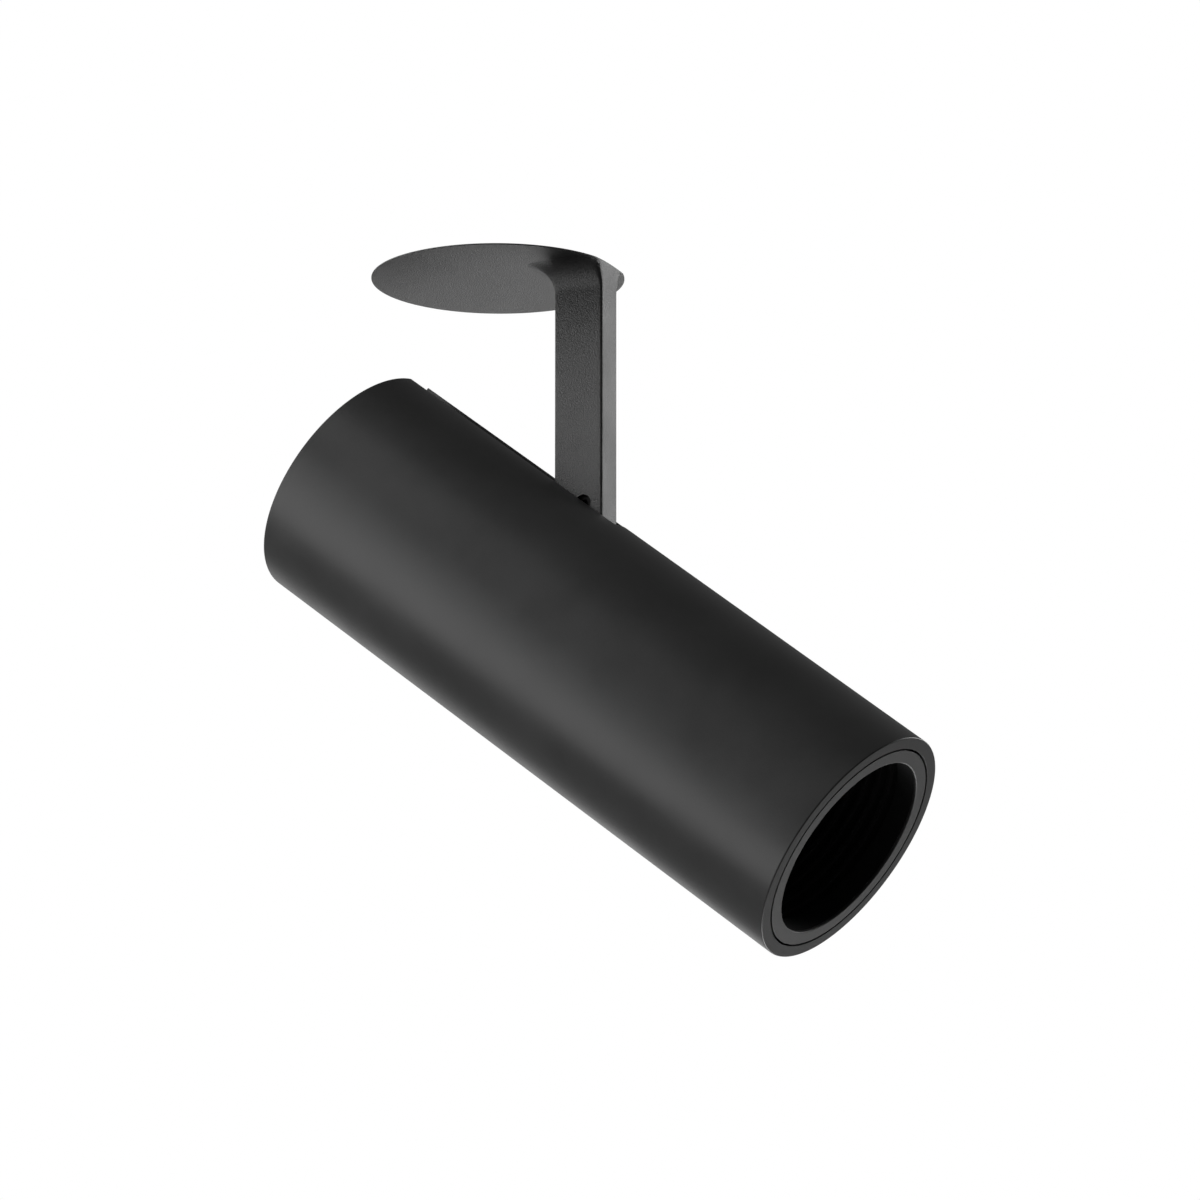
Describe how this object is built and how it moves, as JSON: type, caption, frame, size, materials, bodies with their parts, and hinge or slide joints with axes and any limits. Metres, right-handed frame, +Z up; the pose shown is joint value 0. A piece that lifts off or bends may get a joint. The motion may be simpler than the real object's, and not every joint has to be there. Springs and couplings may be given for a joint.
{
  "type": "adjustable ceiling spotlight",
  "caption": "Black ceiling spot: a thin round ceiling disc carries a flat arm that enters a slot in a round tube, which tilts on the arm and turns with the disc.",
  "frame": {"origin": "centre of the fixing plate's top face, which lies against the ceiling", "axes": "+Z up into the ceiling, +X from the disc's centre to the arm at its rim, +Y completes the right-handed frame"},
  "size_m": [0.1651, 0.0614, 0.1765],
  "materials": {
    "bracket_powder_coat": "die-cast, fine structured dark grey powder coat, satin",
    "tube_powder_coat": "extruded, smooth black powder coat, satin",
    "rear_cap_paint": "fine structured powder coat, matt black",
    "front_ring_paint": "fine powder coat, satin",
    "baffle_black": "deep matt black",
    "zinc_plate": "zinc plated, satin",
    "steel_turned": "turned and plated",
    "spring_steel": "spring steel, satin",
    "black_screw": "black oxide",
    "die_cast": "die-cast zinc, as cast",
    "friction_fibre": "fibre friction disc, matt",
    "acetal": "natural acetal, matt",
    "washer_polymer": "low-friction polymer, matt",
    "socket_plastic": "moulded, half gloss",
    "wire_cover": "extruded insulation, satin",
    "grommet_rubber": "soft rubber, matt",
    "sink_anodised": "black anodised, satin",
    "turned_aluminium": "turned, bare",
    "thermal_pad": "soft filled silicone",
    "board_white": "white solder mask",
    "emitter_resin": "yellow phosphor resin",
    "holder_white": "moulded, matt white",
    "spacer_black": "black anodised, matt",
    "reflector_metal": "bright metallised, fine facets",
    "clear_glass": "clear tempered glass"
  },
  "bodies": {
    "ceiling_plate": {"fixing_plate": "zinc_plate", "swivel_bush": "acetal", "stop_pin": "steel_turned"},
    "bracket": {"disc_arm": "bracket_powder_coat", "swivel_stud": "steel_turned", "swivel_friction_washer": "friction_fibre", "swivel_wave_washer": "spring_steel", "swivel_nut": "steel_turned", "feed_socket": "socket_plastic", "arm_lead": "wire_cover", "lead_grip_screw": "black_screw", "arm_grommet": "grommet_rubber"},
    "head": {"tube_housing": "tube_powder_coat", "rear_cap": "rear_cap_paint", "rear_cap_screws": "black_screw", "cap_standoffs": "turned_aluminium", "pivot_yoke": "die_cast", "pivot_screws": "black_screw", "pivot_friction_washers": "washer_polymer", "pivot_spring_washers": "spring_steel", "yoke_screws": "black_screw", "yoke_grommet": "grommet_rubber", "retaining_ring": "spring_steel", "heat_sink": "sink_anodised", "thermal_pad": "thermal_pad", "led_board": "board_white", "led_emitter": "emitter_resin", "led_holder": "holder_white", "holder_screws": "steel_turned", "head_lead": "wire_cover", "optic_spacer": "spacer_black", "reflector": "reflector_metal", "front_glass": "clear_glass", "glass_gasket": "grommet_rubber", "snoot": "baffle_black", "front_ring": "front_ring_paint"}
  },
  "joints": [
    {"name": "disc_swivel", "type": "hinge", "parent": "ceiling_plate", "child": "bracket", "pos_m": [0, 0, 0], "axis": [0, 0, 1], "range_deg": [-170, 170]},
    {"name": "tube_tilt", "type": "hinge", "parent": "bracket", "child": "head", "pos_m": [0.02211, 0, -0.07025], "axis": [0, -1, 0], "range_deg": [-52.6, 37.4]}
  ]
}
